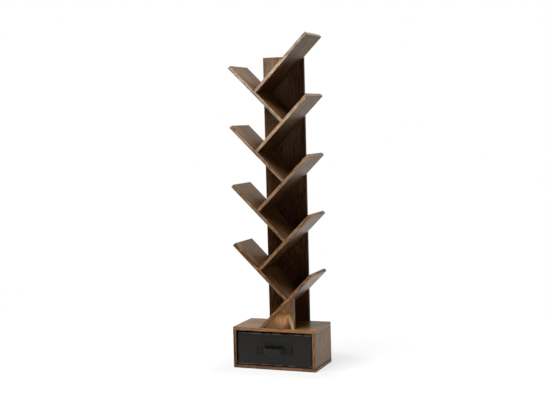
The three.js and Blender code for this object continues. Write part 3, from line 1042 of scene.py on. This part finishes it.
def addBindingTape(path, look):
    points, faces = [], []
    for place, out in path:
        for offset, height in bindingSection(place, look):
            points.append(place + out * offset + Vector((0, 0, height)))
    count = len(points) // len(path)
    for p in range(len(path)):
        here, there = p * count, (p + 1) % len(path) * count
        for c in range(count):
            n = (c + 1) % count
            faces.append((here + c, here + n, there + n, there + c))
    addMesh("drawer_binding_tape", points, faces, bindingCloth, "drawer",
            ["drawer_rim_binding"])


def addBindingStitches(path, look):
    points, faces = [], []
    height = Vector((0, 0, bindingLow.z + look["stitchAbove"]))
    for (place, out), (ahead, outAhead) in zip(path, path[1:] + path[:1]):
        if (ahead - place).length < look["stitchLeast"]:
            continue
        for side in (1, -1):
            offset = side * (look["halfWidth"] - look["stitchSunk"])
            begin = place + out * offset + height
            finish = ahead + outAhead * offset + height
            start, end = (begin.lerp(finish, share) for share in look["stitchShares"])
            addStitch(points, faces, start, end, out * side, look["stitchThickness"])
    addMesh("drawer_binding_stitches", points, faces, thread, "drawer")


rim = rimPath(bindingLow, bindingHigh, bindingLook)
addBindingTape(rim, bindingLook)
addBindingStitches(rim, bindingLook)


# Strap handle: webbing with turned edges, sewn flat at both ends and standing off in the middle
handleLook = {
    "loop": 108 * mm,
    "bend": 24 * mm,
    "bulge": 20 * mm,
    "droop": 5 * mm,
    "tilt": math.pi / 10,
    "thickness": 2.5 * mm,
    "width": 34 * mm,
    "thinning": 0.5 * mm,
    "steps": 72,
    "rimTurns": 4,
    "rimSteps": 8,
    "endShare": 0.55,
    "endReach": 1.2 * mm,
    "seamInset": 4 * mm,
    "seamSunkShare": 0.6,
    "crease": 0.4 * mm,
    "creaseRipple": (60, 30, 0.4),
}


def strapPoint(x, out, up, look):
    along = min(1.0, max(0.0, (look["loop"] / 2 - abs(x)) / look["bend"]))
    lift = along * along * (3 - 2 * along)
    slope = -math.copysign(6 * along * (1 - along), x) * look["bulge"] / look["bend"]
    tilt = look["tilt"] * lift
    outward = Vector((-slope, -1, 0)).normalized()
    back = frontLow.y - seat - look["thickness"] / 2
    crease = look["crease"] * ripple(x, up, look["creaseRipple"]) * lift
    middle = Vector((x, back - look["bulge"] * lift, strapMiddleZ - look["droop"] * lift))
    point = middle + outward * (out * math.cos(tilt) + up * math.sin(tilt) + crease)
    point.z += up * math.cos(tilt) - out * math.sin(tilt)
    return point


def strapRim(look):  # the webbing's section, out and up, once round
    turns, steps = look["rimTurns"], look["rimSteps"]
    roundness = look["thickness"] / 2
    reach = look["width"] / 2 - roundness
    section = []
    for side in (1, -1):
        for i in range(steps + 1):
            up = side * reach * (1 - 2 * i / steps)
            thin = look["thinning"] * (1 - (up / reach) ** 4)
            section.append((side * (roundness - thin), up))
        for i in range(1, turns):
            angle = -math.pi * i / turns
            out, up = side * roundness * math.cos(angle), side * (roundness * math.sin(angle) - reach)
            section.append((out, up))
    return section


def addStrap(look):
    section = strapRim(look)
    length = strapHigh.x - strapLow.x
    points, faces = [], []
    for i in range(look["steps"] + 1):
        x = strapLow.x + length * i / look["steps"]
        fromEnd = min(x - strapLow.x, strapHigh.x - x)
        pinch = look["endShare"] + (1 - look["endShare"]) * swell(fromEnd, look["endReach"])
        for out, up in section:
            points.append(strapPoint(x, out * pinch, up, look))
    joinRings(faces, 0, look["steps"] + 1, len(section))
    addMesh("drawer_strap_handle", points, faces, strapCloth, "drawer",
            ["drawer_handle_strap"])


def addStrapStitches(look):  # a box and cross sewn into each end
    points, faces = [], []
    surface = frontLow.y - seat - look["thickness"] + look["thinning"] * look["seamSunkShare"]
    outward = Vector((0, -1, 0))
    halfHeight = look["width"] / 2 - look["seamInset"]
    near, far = look["loop"] / 2 + look["seamInset"] / 2, strapHigh.x - look["seamInset"]
    for side in (-1, 1):
        corners = [Vector((side * x, surface, strapMiddleZ + up * halfHeight))
                   for x, up in ((near, -1), (far, -1), (far, 1), (near, 1))]
        for a, b in ((0, 1), (2, 3), (0, 2), (1, 3)):
            stitchLine(points, faces, corners[a], corners[b], outward)
        for a, b in ((1, 2), (3, 0)):
            stitchBar(points, faces, corners[a], corners[b], outward)
    addMesh("drawer_strap_stitches", points, faces, thread, "drawer")


addStrap(handleLook)
addStrapStitches(handleLook)
print("binding and strap sewn on")


# Studio: white floor and surroundings, soft lamps from above, the left, the right and behind
studio = {
    "floorSize": 60,
    "floorDrop": 0.2 * mm,
    "floorColour": "#c9c9c9",
    "floorShown": "#707070",
    "floorGlow": 0.89,
    "floorRoughness": 0.9,
    # painted shadow close round the object's footprint
    "paintedShadowGlow": (0.83, 1.0),
    "paintedShadowReach": 0.26,
    "clearing": (0.9, 2.4),
    "veilTint": "#fff3e4",
    "frontGloss": (-1.2, 0.1),
    "frontGlossShare": 0.25,
    "skyLight": 0.07,
    "roomDark": 0.03,
    "roomReach": (-0.35, 0.25),
    "lamps": (
        ("overhead", (-0.7, -1.5, 4.0), (0.0, 0.0, 0.8), 2.2, 225),
        ("front_left", (-3.0, -3.6, 2.4), (0.0, 0.0, 0.8), 2.4, 6),
        ("right", (3.8, -1.2, 1.6), (0.0, 0.0, 0.6), 2.2, 18),
        ("behind", (-0.4, 3.8, 1.6), (0.0, 0.0, 0.8), 2.2, 26),
    ),
}


def fromFootprint(tree, place):  # how far a point of the floor lies outside the object's outline on it
    aside = vectorMaths(tree, "ABSOLUTE", place)
    aside = vectorMaths(tree, "SUBTRACT", aside, (cadHigh.x, -cadLow.y, 0.0))
    return vectorMaths(tree, "LENGTH", vectorMaths(tree, "MAXIMUM", aside), output="Value")


def floorMaterial(look):  # the camera and glossy rays see it glow white, round the object's soft shadow and a painted shadow close round its footprint
    material, tree, shader = newMaterial("studio_floor")
    seen = addNode(tree, "LightPath").outputs
    place = addNode(tree, "TexCoord").outputs["Object"]
    colour = mixed(tree, seen["Is Camera Ray"], look["floorColour"], look["floorShown"])
    feed(tree, shader.inputs["Base Color"], colour)
    shader.inputs["Roughness"].default_value = look["floorRoughness"]
    shader.inputs["Specular IOR Level"].default_value = 0.0
    tint = mixed(tree, seen["Is Glossy Ray"], "#ffffff", look["veilTint"])
    behind = ease(tree, split(tree, place)[1], *look["frontGloss"], look["frontGlossShare"], 1.0)
    shown = maths(tree, "MAXIMUM", seen["Is Camera Ray"], product(tree, seen["Is Glossy Ray"], behind))
    # painted shadow close round the object's footprint
    paintedShadow = ease(tree, fromFootprint(tree, place), 0.0, look["paintedShadowReach"], *look["paintedShadowGlow"])
    nearby = product(tree, shown, paintedShadow, look["floorGlow"])
    glow = addNode(tree, "Emission", {"Color": tint, "Strength": nearby})
    near = addNode(tree, "AddShader", {0: shader.outputs[0], 1: glow.outputs[0]})
    clear = addNode(tree, "Emission", {"Color": tint, "Strength": shown})
    far = ease(tree, vectorMaths(tree, "LENGTH", place, output="Value"), *look["clearing"])
    both = addNode(tree, "MixShader", {0: far, 1: near.outputs[0], 2: clear.outputs[0]})
    tree.links.new(both.outputs[0], tree.nodes["Material Output"].inputs["Surface"])
    return material


def addFloor(look):
    half = look["floorSize"] / 2
    corners = [(-half, -half, 0), (half, -half, 0), (half, half, 0), (-half, half, 0)]
    mesh = bpy.data.meshes.new("studio_floor")
    mesh.from_pydata(corners, [], [(0, 1, 2, 3)])
    floor = bpy.data.objects.new("studio_floor", mesh)
    floor.location.z = -look["floorDrop"]
    bpy.context.scene.collection.objects.link(floor)
    dress(floor, floorMaterial(look))


def addSurroundings(look):  # white to the camera, and to glossy rays white behind and dark in front
    world = bpy.data.worlds.new("studio")
    world.use_nodes = True
    bpy.context.scene.world = world
    tree = world.node_tree
    seen = addNode(tree, "LightPath").outputs
    direction = addNode(tree, "TexCoord").outputs["Generated"]
    toBack = ease(tree, split(tree, direction)[1], *look["roomReach"], look["roomDark"], 1.0)
    glossy = product(tree, seen["Is Glossy Ray"], maths(tree, "SUBTRACT", toBack, look["skyLight"]))
    strength = maths(tree, "MAXIMUM", maths(tree, "ADD", glossy, look["skyLight"]), seen["Is Camera Ray"])
    background = tree.nodes["Background"]
    feed(tree, background.inputs["Color"], mixed(tree, seen["Is Glossy Ray"], "#ffffff", look["veilTint"]))
    feed(tree, background.inputs["Strength"], strength)


def addLamps(look):
    for name, place, aim, size, power in look["lamps"]:
        data = bpy.data.lights.new(name, "AREA")
        data.shape = "SQUARE"
        data.size = size
        data.energy = power
        lamp = bpy.data.objects.new(name, data)
        lamp.location = place
        lamp.rotation_euler = (Vector(aim) - Vector(place)).to_track_quat("-Z", "Y").to_euler()
        lamp.visible_glossy = name != "behind"  # it only lifts the rear, with no glint past the edges
        bpy.context.scene.collection.objects.link(lamp)


addFloor(studio)
addSurroundings(studio)
addLamps(studio)
print("studio lit")
